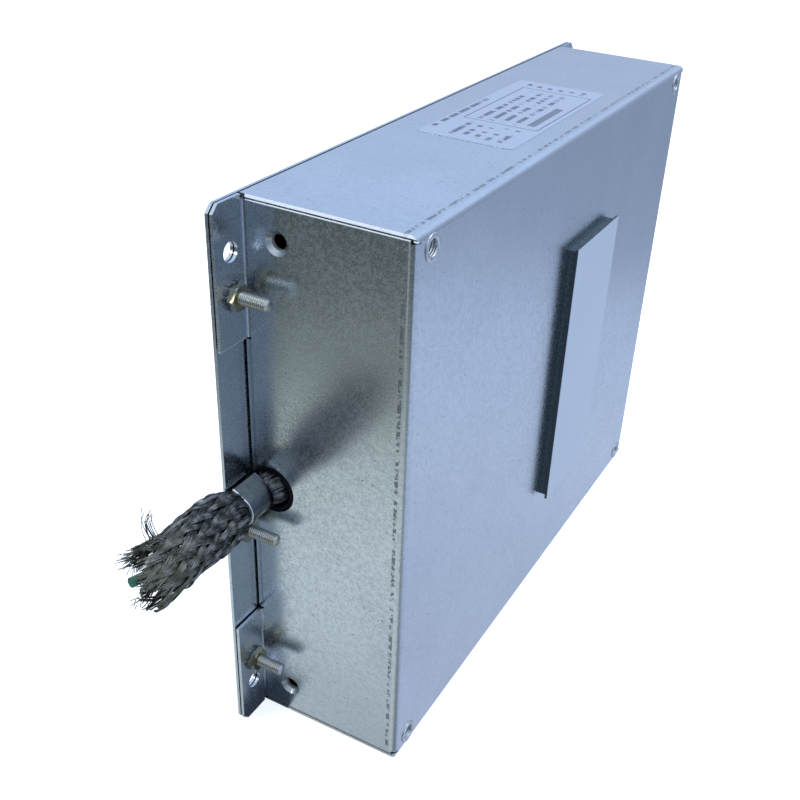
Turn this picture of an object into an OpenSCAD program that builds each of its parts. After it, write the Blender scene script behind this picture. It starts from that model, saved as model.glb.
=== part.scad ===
// Footprint line filter for a three-phase drive.
// X runs out of the mounting face, Y along the case from the cable end to the
// terminal end, and Z across the case. The origin is the middle of the
// mounting face, which is the back of the base plate.

/* [Case] */
// Length of the cover over its two end walls
case_len = 220; // [205:1:250]
// Width of the case over its two long walls
case_wid = 185; // [176:1:215]
// Depth from the mounting face to the front panel
case_depth = 55; // [50:1:75]
// Thickness of the cover sheet
sheet_t = 1; // [0.8:0.1:1.2]
// Outer radius of the bends round the front panel
bend_r = 2; // [1.6:0.1:2.4]
// Inner radius of the fold between an end wall and its ears
fold_r = 0.8; // [0.5:0.1:1.2]
// Open seam between an end wall and a long wall
seam_gap = 0.4; // [0.2:0.1:0.8]
// Reach of each flange past its end wall
flange_len = 12.5; // [11.5:0.5:16]
// Length of an ear along its end wall
ear_len = 42; // [36:0.5:55]
// Chamfer on the corners of the base plate and the ears
corner_cut = 2.3; // [1:0.1:4]
// Thickness of the base plate
plate_t = 1; // [0.8:0.1:1.5]
// Gap that the stud collars hold open under the ears
seat_gap = 0.5; // [0.3:0.1:1]
// Gap between the free edges of the walls and the base plate
edge_gap = 0.6; // [0.3:0.1:1]

/* [Holes in the case] */
// Distance of the flange holes and studs from the end wall
hole_line = 6; // [5.5:0.1:6.5]
// Radius of the mounting holes
mount_r = 3; // [2.2:0.1:3.2]
// Distance of the mounting holes from the long side
mount_inset = 14.5; // [12:0.5:16]
// Radius of the mouth of a plunged hole in an end wall
plunge_mouth_r = 3.6; // [3.2:0.1:4]
// Radius of the hole at the bottom of the plunge
plunge_hole_r = 2.3; // [1.8:0.1:2.5]
// Depth of the plunge from the outer face
plunge_depth = 2.4; // [2:0.1:3]
// Height of the plunged holes above the mounting face
plunge_x = 13; // [11:0.5:16]
// Distance of the plunged holes from the long side
plunge_inset = 11.7; // [9:0.1:13]
// Radius of the cable opening
cable_hole_r = 8; // [7.5:0.1:9]
// Height of the middle of the cable opening
cable_hole_x = 8.4; // [8.2:0.1:9]

/* [Studs, nuts and washers] */
// Radius of the threaded studs
stud_r = 2; // [1.5:0.1:2.2]
// Height of the stud tips above the mounting face
stud_tip = 14.5; // [12:0.5:20]
// Distance of the corner studs from the long side
stud_inset = 26; // [25:0.5:28]
// How much lower across the plate all four corner studs sit
stud_shift = 1.1; // [0:0.1:1.5]
// Radius of the flush stud head
stud_head_r = 3.4; // [3:0.1:3.6]
// Thickness of the flush stud head
stud_head_t = 0.5; // [0.3:0.1:0.6]
// Radius of the collar that an ear seats on
collar_r = 3.2; // [2.8:0.1:3.6]
// Width of the nuts across their flats
nut_af = 7; // [6:0.1:7.6]
// Height of the nuts
nut_h = 2.4; // [2.2:0.1:3.6]
// Outer radius of the toothed washers
washer_r = 4.3; // [3.8:0.1:4.4]
// Thickness of the toothed washers
washer_t = 0.6; // [0.5:0.1:1.2]
// Number of teeth on a washer
washer_teeth = 10; // [6:1:14]
// Distance of the earth stud by the cable from the middle of the case
earth_stud_z = 13.5; // [12.5:0.5:20]
// Distance of the earth stud by the terminals from the ear beside it
far_earth_in = 12.5; // [5:0.5:14]

/* [Threaded inserts] */
// Distance of the inserts from the end walls
insert_in_len = 8; // [7:0.5:14]
// Distance of the inserts from the long walls
insert_in_wid = 5.5; // [5.5:0.1:9]
// Radius of the insert's thread
insert_thread_r = 2.1; // [1.6:0.1:2.4]
// Radius of the insert's body
insert_r = 3.4; // [3:0.1:3.5]
// Radius of the insert's thin head
insert_head_r = 3.95; // [3.7:0.05:4.2]
// Length of the insert below its head
insert_len = 10; // [8:0.5:14]

/* [Cable end] */
// Inner radius of the cable bushing
bushing_r = 6.4; // [6.3:0.1:6.8]
// Outer radius of the clip round the cable
clip_r = 5.4; // [5.2:0.1:5.8]
// Thickness of the clip strip
clip_t = 0.8; // [0.5:0.1:0.9]
// Width of the clip strip
clip_w = 10.5; // [7:0.5:12]
// Distance from the end wall to the clip
clip_stand = 3.5; // [3:0.5:5]
// Length of the free end of the clip
clip_end = 5; // [2:0.5:7]
// Radius of a cable core over its insulation
core_r = 1.5; // [1.1:0.1:1.5]
// Thickness of the braided screen
braid_t = 0.6; // [0.4:0.1:0.6]
// Length of the braid outside the end wall
braid_len = 56; // [45:1:75]
// Radius of the loose braid past the clip
braid_out_r = 7.9; // [6.8:0.1:8]
// Sideways drift of the loose braid from the clip's middle
cable_drift = 3.4; // [0:0.1:3.6]

/* [Label and slot card] */
// Length of the type label
label_len = 80; // [60:1:100]
// Height of the type label
label_h = 33; // [20:1:36]
// Distance of the label from the middle of the case
label_shift = 6.5; // [0:0.5:15]
// Height of the label's lower edge above the mounting face
label_x = 12; // [6:0.5:13]
// Thickness of the label foil
label_t = 0.15; // [0.1:0.05:0.3]
// Length of the slot card across the case
card_len = 104; // [80:1:130]
// Width of the slot card
card_wid = 40; // [30:1:60]
// Thickness of the slot card
card_t = 1; // [0.5:0.1:2]
// Thickness of the foam pad behind the card
pad_t = 2.5; // [1:0.1:4]
// Step from the card's edge in to the pad's edge
pad_step = 1; // [0:0.1:3]
// Shift of the card from the middle towards the terminal end
card_shift = 20; // [0:0.5:40]

/* [Circuit board] */
// Thickness of the circuit board
board_t = 1.6; // [1:0.1:2.4]
// Height of the pillars under the board
pillar_h = 8; // [6:0.5:9]
// Distance of the board from the long walls
board_side = 8; // [6:0.5:12]
// Distance of the board from the cable end wall
board_near = 22; // [20:0.5:24]
// Distance of the board from the terminal end wall
board_far = 4; // [3:0.5:8]
// Distance of the pillars in from the board's edges
pillar_inset = 6; // [5:0.5:8]
// Width of the pillars across their flats
pillar_af = 5.5; // [5:0.1:6]
// Radius of the board screws
screw_r = 1.2; // [1:0.1:1.5]
// Thickness of the insulating sheet on the base plate
film_t = 0.4; // [0.2:0.1:0.8]

/* [Choke] */
// Outer radius of the choke's ring core
core_out_r = 31.5; // [29:0.5:33]
// Inner radius of the choke's ring core
core_in_r = 15.5; // [14.5:0.5:17]
// Height of the ring core
core_h = 22; // [18:0.5:24]
// Radius of the winding wire
wire_r = 1.2; // [0.8:0.1:1.2]
// Turns of each winding
turns = 8; // [5:1:8]
// Arc of the ring that one winding covers, in degrees
winding_span = 98; // [80:1:100]
// Thickness of the choke's base
choke_base_t = 2; // [1.5:0.1:3]
// Distance of the choke's middle from the board's edge by the cable
choke_place = 71; // [68:0.5:74]

/* [Capacitors and resistors] */
// Length of a line or load capacitor
cap_len = 32; // [26:0.5:36]
// Width of a line or load capacitor
cap_wid = 17; // [12:0.5:17]
// Height of a line or load capacitor
cap_h = 28; // [20:0.5:32]
// Spacing of the capacitors across the board
cap_pitch = 52; // [40:0.5:54]
// Radius of an earth capacitor's disc
disc_r = 5.5; // [4:0.1:6]
// Thickness of an earth capacitor's disc
disc_t = 4.5; // [3:0.1:5]
// Radius of a bleed resistor's body
resistor_r = 2; // [1.2:0.1:2.5]
// Length of a bleed resistor's body
resistor_len = 11; // [8:0.5:14]
// Distance of the load capacitors from the board's edge by the cable
load_cap_place = 15.5; // [14:0.5:17]
// Distance of the line capacitors from the board's edge by the terminals
line_cap_place = 49; // [47:0.5:51]
// Distance of the earth capacitors from the same edge
disc_place = 31; // [29:0.5:34]
// Distance of the bleed resistors from the same edge
resistor_place = 66; // [62:0.5:68]

/* [Terminal block] */
// Spacing of the terminals
pole_pitch = 12; // [11:0.5:13]
// Height of the terminal block on the board
block_h = 26; // [24:0.5:28]
// Length of the terminal block along the case
block_len = 26; // [22:0.5:28]
// Reach of the terminal block past the end wall
block_proud = 1.5; // [0:0.5:4]
// Side of a square wire entry
entry_w = 7; // [5.5:0.1:8]
// Radius of a screw well
well_r = 3.2; // [2.6:0.1:3.6]
// Gap round the terminal block in its window
window_gap = 0.6; // [0.3:0.1:1.5]

/* [Hidden] */
$fn = 48;

fit = 0.05;          // press and clearance fits, on the radius
cut = 1;             // how far a cut runs past the face it opens
half_len = case_len / 2;
half_wid = case_wid / 2;
ear_low = plate_t + seat_gap;
ear_top = ear_low + sheet_t;
wall_low = plate_t + edge_gap;
inner_x = case_depth - sheet_t;                  // inside of the front panel
end_half = half_wid - sheet_t - seam_gap;        // half width of an end wall
bend_half = half_wid - bend_r - seam_gap;        // half width of its front bend
flange_y = half_len + hole_line;
mount_z = half_wid - mount_inset;
stud_z = half_wid - stud_inset;
plunge_z = half_wid - plunge_inset;
insert_y = half_len - insert_in_len;
insert_z = half_wid - insert_in_wid;
earth_y = half_len + hole_line;
mesh_r = 0.8 * stud_r;                           // root of the threads, where a nut is held on
far_earth_z = half_wid - ear_len - far_earth_in;  // earth stud by the terminals

clip_x = plate_t + clip_r;                       // middle of the clip's loop
clip_y = -half_len - clip_stand - clip_w / 2;
bundle_r = clip_r - clip_t - fit;                // cable squeezed in the clip
bore_sides = 36;                                 // facets round the braid
lay_r = (bundle_r - braid_t) * cos(180 / bore_sides) - core_r - fit;  // circle that the cores lie on

swell_len = 11;                                  // where the braid opens out past the clip
core_spread = 1.2;                               // how far the cores part in the open braid
earth_core_tip = [clip_x + 2.1, -half_len - braid_len - 5, cable_drift + 4.1];

board_x = plate_t + pillar_h;
board_top = board_x + board_t;
board_y0 = -half_len + board_near;
board_y1 = half_len - board_far;
board_half = half_wid - sheet_t - board_side;
pillar_z = board_half - pillar_inset;
pillar_shank_r = pillar_af / 2 - 0.6;
pillar_ys = [board_y0 + pillar_inset, (board_y0 + board_y1) / 2, board_y1 - pillar_inset];

wrap_gap = 1;                                    // slack of the turns on the core
choke_y = board_y0 + choke_place;
choke_mid_r = (core_out_r + core_in_r) / 2;
wrap_r = (core_out_r - core_in_r) / 2 + wire_r + wrap_gap;
wrap_x = core_h / 2 + wire_r + wrap_gap;
choke_mid_x = board_top + choke_base_t + fit + wire_r + wrap_x;
lead_r = choke_mid_r + wrap_r;                   // circle that the leads drop from
lead_end_x = board_x - 0.8;
winding_az = [90, 210, 330];
lead_back = winding_span / turns / 4;            // the last turn stops a quarter early
divider_az = [30, 150, 270];
divider_t = 1.4;

leg_r = 0.5;
leg_under = 1;                                   // length of a leg below the board
cap_leg = 12;                                    // legs each side of the middle
load_cap_y = board_y0 + load_cap_place;
line_cap_y = board_y1 - line_cap_place;
disc_y = board_y1 - disc_place;
resistor_y = board_y1 - resistor_place;
disc_leg = 3.5;
resistor_leg = 8;
cap_row = [-cap_pitch, 0, cap_pitch];

block_y1 = half_len + block_proud;
block_y0 = block_y1 - block_len;
block_half = 2 * pole_pitch + 2;
poles = [-1.5, -0.5, 0.5, 1.5] * pole_pitch;
entry_x = board_top + 2 + entry_w / 2;
entry_depth = 11;
well_x = board_top + block_h - 1.8 - well_r;
well_depth = 8;
cage_t = 0.8;
cage_pin_r = 0.8;
cage_pin_y = block_y0 + 5;
feed_y = board_y0 + 4;                           // where the cores meet the board
feed_pitch = 14;

zinc = [0.66, 0.71, 0.76];
yellow_zinc = [0.62, 0.57, 0.38];
tinned = [0.42, 0.44, 0.45];
copper = [0.72, 0.42, 0.24];
black = [0.08, 0.08, 0.09];

// ---- helpers ----

// Extrude a (y, z) outline along X from x = 0
module along_x(h) rotate([90, 0, 90]) linear_extrude(h) children();

// Extrude an (x, z) outline along Y, centred on y = 0
module along_y(h) rotate([90, 0, 0]) linear_extrude(h, center = true) children();

// Cylinder along X
module rod_x(x, y, z, r, h) translate([x, y, z]) rotate([0, 90, 0]) cylinder(h = h, r = r);

// Children at the four places (+-y, +-z)
module at_corners(y, z) for (sy = [-1, 1], sz = [-1, 1]) translate([0, sy * y, sz * z]) children();

// Children on the outer face of an end wall, local Z pointing out of the case
module on_end(side, x, z) translate([x, side * half_len, z]) rotate([-side * 90, 0, 0]) children();

// Rectangle from (x0, y0) to (x1, y1)
module area(x0, y0, x1, y1) translate([x0, y0]) square([x1 - x0, y1 - y0]);

// Box between two opposite corners
module block(a, b) translate(a) cube(b - a);

// Rectangle with round corners, centred
module rounded(a, b, r) {
    square([a - 2 * r, b], center = true);
    square([a, b - 2 * r], center = true);
    for (sx = [-1, 1], sy = [-1, 1]) translate([sx * (a / 2 - r), sy * (b / 2 - r)]) circle(r);
}

function unit(v) = v / norm(v);

// Direction of a path at point i
function heading(p, i) = unit(p[min(i + 1, len(p) - 1)] - p[max(i - 1, 0)]);

// Side vectors carried along a path without twist
function sides_of(p, i = 0, last = [0, 0, 1]) = i == len(p) ? [] :
    let (h = heading(p, i),
         seed = i == 0 && abs(h[2]) > 0.9 ? [0, 1, 0] : last,
         s = unit(seed - (seed * h) * h))
    concat([s], sides_of(p, i + 1, s));

// Skin round a path: reach(i, angle) is the radius and shift(i, angle) a step
// along the path at ring i
module skin(p, n, reach, shift) {
    s = sides_of(p);
    m = len(p);
    dots = [for (i = [0 : m - 1], k = [0 : n - 1])
        let (h = heading(p, i), a = 360 * k / n)
        p[i] + reach(i, a) * (cos(a) * s[i] + sin(a) * cross(h, s[i])) + shift(i, a) * h];
    walls = [for (i = [0 : m - 2], k = [0 : n - 1], half = [0, 1])
        let (a = i * n + k, b = i * n + (k + 1) % n)
        half == 0 ? [a, a + n, b + n] : [a, b + n, b]];
    ends = [[for (k = [0 : n - 1]) k], [for (k = [n - 1 : -1 : 0]) (m - 1) * n + k]];
    polyhedron(dots, concat(walls, ends), convexity = 8);
}

// Plain round tube along a path
module run(p, r, n = 8) skin(p, n, function(i, a) r, function(i, a) 0);

// Smooth path through chosen points, n steps to each span
function smooth(p, n) = concat([p[0]], [for (i = [0 : len(p) - 2], k = [1 : n])
    let (t = k / n, a = p[max(i - 1, 0)], b = p[i], c = p[i + 1], d = p[min(i + 2, len(p) - 1)])
    0.5 * (2 * b + (c - a) * t + (2 * a - 5 * b + 4 * c - d) * t * t
        + (3 * b - a - 3 * c + d) * t * t * t)]);

// ---- case ----

// Square corner at the origin less its round, as a cutting tool for a bend
module corner_waste(r) difference() {
    translate([-r, -r]) square(r + cut);
    translate([-r, -r]) circle(r);
}

// Section of the sheet folded down from the front panel at both sides, as an
// (x, width) outline for walls whose outer faces lie at +-half
module channel_outline(half, low) difference() {
    area(low, -half, case_depth, half);
    area(low - cut, -half + sheet_t, case_depth - bend_r, half - sheet_t);
    area(low - cut, -half + bend_r, inner_x, half - bend_r);
    for (s = [0, 1]) mirror([0, s, 0]) {
        translate([case_depth - bend_r, half - bend_r]) circle(bend_r - sheet_t);
        translate([case_depth, half]) corner_waste(bend_r);
    }
}

// Long walls with their bends, and the front panel between the end bends
module long_channel() difference() {
    along_y(case_len) channel_outline(half_wid, wall_low);
    for (s = [0, 1]) mirror([0, s, 0])
        block([case_depth - bend_r - cut, half_len - bend_r, -half_wid + bend_r],
              [case_depth + cut, half_len + cut, half_wid - bend_r]);
}

// End walls with their front bends and the folds above their ears
module end_channel() {
    mid_half = half_wid - ear_len - fold_r;
    linear_extrude(2 * bend_half, center = true) channel_outline(half_len, ear_top + fold_r);
    for (s = [0, 1]) mirror([0, s, 0]) {
        linear_extrude(2 * end_half, center = true)
            area(ear_top + fold_r, half_len - sheet_t, case_depth - bend_r, half_len);
        linear_extrude(2 * mid_half, center = true)
            area(wall_low, half_len - sheet_t, case_depth / 2, half_len);
        for (m = [0, 1]) mirror([0, 0, m]) {
            translate([0, 0, half_wid - ear_len]) linear_extrude(ear_len - sheet_t - seam_gap) ear_fold();
            ear();
        }
    }
}

// Fold between an end wall and an ear, with a length of each
module ear_fold() difference() {
    area(ear_low, half_len - sheet_t, case_depth / 2, half_len + flange_len / 2);
    area(ear_top + fold_r, half_len, case_depth, case_len);
    area(ear_top, half_len + fold_r, case_depth, case_len);
    translate([ear_top + fold_r, half_len + fold_r]) circle(fold_r);
    translate([ear_low, half_len - sheet_t]) rotate(180) corner_waste(fold_r + sheet_t);
}

// A flat ear with its outer corner cut off
module ear() translate([ear_low, 0, 0]) along_x(sheet_t) polygon([
    [half_len + fold_r, half_wid - ear_len],
    [half_len + flange_len, half_wid - ear_len],
    [half_len + flange_len, half_wid - corner_cut],
    [half_len + flange_len - corner_cut, half_wid],
    [half_len + fold_r, half_wid]]);

// Formed collar of a plunged hole, pushed into the case
module plunge() rotate_extrude() polygon([
    [plunge_mouth_r, 0],
    [plunge_hole_r, plunge_hole_r - plunge_mouth_r],
    [plunge_hole_r, -plunge_depth],
    [plunge_hole_r + 0.8 * sheet_t, -plunge_depth],
    [plunge_mouth_r + sheet_t / 2, -sheet_t],
    [plunge_mouth_r + sheet_t / 2, 0]]);

module cover() color(zinc) {
    difference() {
        union() {
            long_channel();
            end_channel();
        }
        at_corners(flange_y, mount_z) rod_x(0, 0, 0, mount_r, ear_top + cut);
        at_corner_studs() rod_x(0, 0, 0, stud_r + 4 * fit, ear_top + cut);
        at_corners(insert_y, insert_z) rod_x(inner_x - cut, 0, 0, insert_r + fit, sheet_t + 2 * cut);
        for (side = [-1, 1], z = [-plunge_z, plunge_z]) on_end(side, plunge_x, z)
            translate([0, 0, -sheet_t - cut]) cylinder(h = sheet_t + 2 * cut, r = plunge_mouth_r);
        on_end(-1, cable_hole_x, 0)
            translate([0, 0, -sheet_t - cut]) cylinder(h = sheet_t + 2 * cut, r = cable_hole_r);
        block([board_top - window_gap, half_len - sheet_t - cut, -block_half - window_gap],
              [board_top + block_h + window_gap, half_len + cut, block_half + window_gap]);
    }
    for (side = [-1, 1], z = [-plunge_z, plunge_z]) on_end(side, plunge_x, z) plunge();
}

module base_plate() color(zinc) difference() {
    along_x(plate_t) difference() {
        square([2 * (half_len + flange_len), case_wid], center = true);
        for (sy = [-1, 1], sz = [-1, 1]) translate([sy * (half_len + flange_len), sz * half_wid])
            rotate(45) square(corner_cut * sqrt(2), center = true);
    }
    at_corners(flange_y, mount_z) rod_x(-cut, 0, 0, mount_r, plate_t + 2 * cut);
    at_studs() {
        rod_x(-cut, 0, 0, mesh_r + fit, plate_t + 2 * cut);
        rod_x(-cut, 0, 0, stud_head_r + fit, stud_head_t + cut);
    }
    at_pillars() rod_x(-cut, 0, 0, pillar_shank_r + fit, plate_t + 2 * cut);
}

// ---- studs, nuts and washers ----

module at_corner_studs() translate([0, 0, -stud_shift]) at_corners(flange_y, stud_z) children();

module at_earth_studs() {
    translate([0, -earth_y, -earth_stud_z]) children();
    translate([0, earth_y, -far_earth_z]) children();
}

module at_studs() {
    at_corner_studs() children();
    at_earth_studs() children();
}

// Press-in stud with a flush head and a collar on the front of the plate. Up
// to neck_top, where its nut ends, it has the radius at which the threads mesh.
module press_stud(neck_top) rotate([0, 90, 0]) {
    tip = stud_r / 4;
    cylinder(h = stud_head_t, r = stud_head_r);
    cylinder(h = neck_top, r = mesh_r);
    translate([0, 0, neck_top]) {
        cylinder(h = stud_tip - tip - neck_top, r = stud_r);
        translate([0, 0, stud_tip - tip - neck_top]) cylinder(h = tip, r1 = stud_r, r2 = stud_r - tip);
    }
    translate([0, 0, plate_t]) cylinder(h = seat_gap, r = collar_r);
}

// Hexagon nut with chamfered corners, its lower face at x
module nut(x) translate([x, 0, 0]) rotate([0, 90, 0]) rotate(30) difference() {
    corner = nut_af / sqrt(3);
    intersection() {
        cylinder(h = nut_h, r = corner, $fn = 6);
        union() {
            cylinder(h = nut_h / 2, r1 = corner - 0.4, r2 = corner - 0.4 + nut_h / 2);
            translate([0, 0, nut_h / 2])
                cylinder(h = nut_h / 2, r1 = corner - 0.4 + nut_h / 2, r2 = corner - 0.4);
        }
    }
    translate([0, 0, -cut]) cylinder(h = nut_h + 2 * cut, r = mesh_r + fit);
}

// Toothed lock washer, its lower face at x
module washer(x) translate([x, 0, 0]) rotate([0, 90, 0]) difference() {
    notch = PI * washer_r / washer_teeth / 2.4;
    cylinder(h = washer_t, r = washer_r);
    translate([0, 0, -cut]) cylinder(h = washer_t + 2 * cut, r = stud_r + 2 * fit);
    for (k = [0 : washer_teeth - 1]) rotate(360 * k / washer_teeth)
        translate([washer_r, 0, -cut]) cylinder(h = washer_t + 2 * cut, r = notch, $fn = 24);
}

module corner_studs() color(yellow_zinc) at_corner_studs() press_stud(ear_top + washer_t + nut_h);
module corner_washers() color(yellow_zinc) at_corner_studs() washer(ear_top);
module corner_nuts() color(yellow_zinc) at_corner_studs() nut(ear_top + washer_t);
module earth_studs() color(yellow_zinc) at_earth_studs() press_stud(ear_low + washer_t + nut_h);
module earth_washers() color(yellow_zinc) at_earth_studs() washer(ear_low);
module earth_nuts() color(yellow_zinc) at_earth_studs() nut(ear_low + washer_t);

// Blind rivet nuts in the front panel
module press_nuts() color(zinc) at_corners(insert_y, insert_z) {
    head = 0.35;
    bulge = insert_r + 0.4;
    translate([case_depth, 0, 0]) rotate([0, 90, 0]) rotate_extrude() polygon([
        [insert_thread_r, -insert_len],
        [insert_r, -insert_len],
        [insert_r, -sheet_t - 2.2],
        [bulge, -sheet_t - 1.6],
        [bulge, -sheet_t - 0.6],
        [insert_r, -sheet_t - fit],
        [insert_r, 0],
        [insert_head_r, 0],
        [insert_head_r - head / 2, head],
        [insert_thread_r + 0.5, head],
        [insert_thread_r, head - 0.5]]);
}

// ---- label and slot card ----

module type_label() color([0.72, 0.77, 0.82])
    translate([label_x + label_h / 2, label_shift, half_wid])
        linear_extrude(label_t) rounded(label_h, label_len, 2);

module card_pad() color([0.16, 0.22, 0.21])
    translate([case_depth, card_shift, 0]) along_x(pad_t)
        square([card_wid - 2 * pad_step, card_len - 2 * pad_step], center = true);

module slot_card() color([0.78, 0.83, 0.89])
    translate([case_depth + pad_t, card_shift, 0]) along_x(card_t)
        square([card_wid, card_len], center = true);

// ---- cable end ----

// Black bushing that lines the cable opening, flat where it meets the plate
module cable_bushing() color(black) difference() {
    on_end(-1, cable_hole_x, 0) rotate_extrude() polygon([
        [bushing_r, 0],
        [cable_hole_r - fit, 0],
        [cable_hole_r - fit, -sheet_t - fit],
        [cable_hole_r + 2, -sheet_t - fit],
        [cable_hole_r + 2, -sheet_t - 1.4],
        [bushing_r, -sheet_t - 1.4]]);
    block([-cable_hole_r, -half_len - cut, -2 * cable_hole_r],
          [plate_t + film_t + fit, -half_len + sheet_t + 2 * cut, 2 * cable_hole_r]);
}

// Strip bent round the cable, welded down by its foot and open at its end
module shield_clip() color(zinc) translate([clip_x, clip_y, 0]) along_y(clip_w) {
    lift = 59;                                   // where the free end leaves the loop
    inner = clip_r - clip_t;
    difference() {
        union() {
            circle(clip_r);
            area(-clip_r, 0, -inner, clip_r);
            rotate(lift) area(inner, 0, clip_r, clip_end);
        }
        circle(inner);
        polygon([[0, 0], inner * [cos(lift), sin(lift)],
                 [-inner, inner * (1 + cos(lift)) / sin(lift)], [-inner, 0]]);
    }
}

// Smooth rise from 0 to 1
function ease(t) = let (u = min(max(t, 0), 1)) u * u * (3 - 2 * u);

// How far the cable has opened out behind the clip and beyond it, from 0 to 1,
// at the distance d out from the end wall
function behind(d) = ease((clip_stand - 0.3 - d) / 7);
function beyond(d) = ease((d - clip_stand - clip_w - 0.3) / swell_len);

// Middle line of the cable stub, and the outer radius of its braid there
function cable_at(d) = [clip_x + 1.7 * behind(d) + 1.8 * beyond(d), -half_len - d, cable_drift * beyond(d)];
function braid_r_at(d) = bundle_r + 1.2 * behind(d) + (braid_out_r - bundle_r) * beyond(d)
    - 0.4 * ease((d - braid_len + 8) / 8);

// Braided screen, its strands crossing in a diamond weave and its end frayed
module braid_sleeve() color(tinned) {
    n = bore_sides;
    strands = 8;
    relief = 0.12;
    reach = concat([for (d = [-5 : 1.5 : clip_stand + clip_w + swell_len]) d],
                   [for (d = [clip_stand + clip_w + swell_len + 1.5 : 2 : braid_len - 1]) d], [braid_len]);
    m = len(reach);
    path = [for (d = reach) cable_at(d)];
    s = sides_of(path);
    dots = [for (thick = [0, braid_t], i = [0 : m - 1], k = [0 : n - 1])
        let (h = heading(path, i), a = 360 * k / n,
             weave = relief * cos(strands * a / 2 + 40 * i) * cos(strands * a / 2 - 40 * i),
             r = braid_r_at(reach[i]) - (thick > 0 ? thick : relief - weave))
        path[i] + r * (cos(a) * s[i] + sin(a) * cross(h, s[i]))
            + (i == m - 1 ? 1.4 * sin(5 * a) + sin(3 * a + 40) : 0) * h];
    walls = [for (i = [0 : m - 2], k = [0 : n - 1])
        let (a = i * n + k, b = i * n + (k + 1) % n, v = a + m * n, w = b + m * n)
        each [[a, a + n, b + n], [a, b + n, b], [v, w + n, v + n], [v, w, w + n]]];
    rims = [for (k = [0 : n - 1])
        let (a = k, b = (k + 1) % n, v = a + m * n, w = b + m * n, e = (m - 1) * n)
        each [[a, b, w], [a, w, v], [b + e, a + e, v + e], [b + e, v + e, w + e]]];
    polyhedron(dots, concat(walls, rims), convexity = 8);
}

// Middle of the core at the angle az of the bundle
function core_at(d, az) = cable_at(d) + (lay_r + core_spread * beyond(d)) * [cos(az), 0, sin(az)];

// Route of a core from its pad on the board out through the clip, to the
// distance last from the end wall
function core_route(az, feed_z, last) = concat(
    smooth([
        [board_top + fit, feed_y, feed_z],
        [board_top + 1, feed_y, feed_z],
        [board_top + 3, feed_y, feed_z],
        [board_top + 3.4, feed_y - 4, feed_z * 0.85],
        [board_top + 0.4, feed_y - 10, feed_z * 0.45],
        core_at(-8, az) + [0.6, 0, feed_z * 0.15],
        core_at(-5, az)], 3),
    [for (d = [-3 : 2 : last]) core_at(d, az)]);

// The three phase cores, cut off at different lengths inside the braid
module phase_cores() color(black) for (k = [0 : 2])
    run(core_route([225, 315, 135][k], (k - 1.5) * feed_pitch, braid_len - 32 + 9 * k), core_r);

// The earth core, which reaches past the frayed end of the braid
module earth_core() color([0.18, 0.42, 0.34])
    run(concat(core_route(45, 1.5 * feed_pitch, braid_len - 7), [earth_core_tip]), core_r);

// ---- circuit board and what stands on it ----

module at_pillars() for (y = pillar_ys, z = [-pillar_z, pillar_z]) translate([0, y, z]) children();

// Places of all component legs on the board, as [y, z, radius of the hole]
leg_spots = concat(
    [for (y = [load_cap_y, line_cap_y], z = cap_row, s = [-1, 1]) [y, z + s * cap_leg, leg_r]],
    [for (z = cap_row, s = [-1, 1]) [disc_y, z + s * disc_leg, leg_r]],
    [for (z = cap_row, s = [-1, 1]) [resistor_y, z + s * resistor_leg, leg_r]],
    [for (az = winding_az, s = [-1, 1]) let (a = az + s * winding_span / 2)
        [choke_y + lead_r * cos(s < 0 ? a : a - lead_back), lead_r * sin(s < 0 ? a : a - lead_back), wire_r]],
    [for (z = poles) [cage_pin_y, z, cage_pin_r]]);

module circuit_board() color([0.16, 0.34, 0.2]) difference() {
    block([board_x, board_y0, -board_half], [board_top, board_y1, board_half]);
    at_pillars() rod_x(0, 0, 0, screw_r + 2 * fit, board_top + cut);
    for (spot = leg_spots) rod_x(board_x - cut, spot[0], spot[1], spot[2] + 0.15, board_t + 2 * cut);
}

module board_pillars() color(zinc) at_pillars() difference() {
    union() {
        rod_x(0, 0, 0, pillar_shank_r, plate_t + cut);
        translate([plate_t, 0, 0]) rotate([0, 90, 0])
            cylinder(h = pillar_h, r = pillar_af / sqrt(3), $fn = 6);
    }
    rod_x(board_x - 6, 0, 0, screw_r + fit, 6 + cut);
}

module board_screws() color(zinc) at_pillars() {
    rod_x(board_x - 5, 0, 0, screw_r, board_t + 5 + cut);
    difference() {
        rod_x(board_top, 0, 0, 2.2 * screw_r, 1.8);
        for (turn = [0, 90]) translate([board_top + 1.8, 0, 0]) rotate([turn, 0, 0])
            cube([2, 0.6, 2.6 * screw_r], center = true);
    }
}

module insulating_sheet() color([0.85, 0.86, 0.8]) difference() {
    block([plate_t, board_y0 + 1, -board_half + 1], [plate_t + film_t, board_y1 - 1, board_half - 1]);
    at_pillars() rod_x(0, 0, 0, pillar_af / sqrt(3) + 0.3, plate_t + film_t + cut);
}

// Body of a capacitor with its two legs through the board
module box_cap(y, z) {
    translate([board_top, y, z]) along_x(cap_h) rounded(cap_wid, cap_len, 1.2);
    for (s = [-1, 1]) rod_x(board_x - leg_under, y, z + s * cap_leg, leg_r, board_t + leg_under + cut);
}

module line_capacitors() color([0.75, 0.74, 0.7]) for (z = cap_row) box_cap(line_cap_y, z);
module load_capacitors() color([0.75, 0.74, 0.7]) for (z = cap_row) box_cap(load_cap_y, z);

module earth_capacitors() color([0.16, 0.34, 0.62]) for (z = cap_row) {
    rise = 2;
    translate([board_top + rise + disc_r, disc_y, z]) rotate([90, 0, 0])
        cylinder(h = disc_t, r = disc_r, center = true);
    for (s = [-1, 1]) rod_x(board_x - leg_under, disc_y, z + s * disc_leg, leg_r,
                            board_t + leg_under + rise + disc_r);
}

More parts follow.
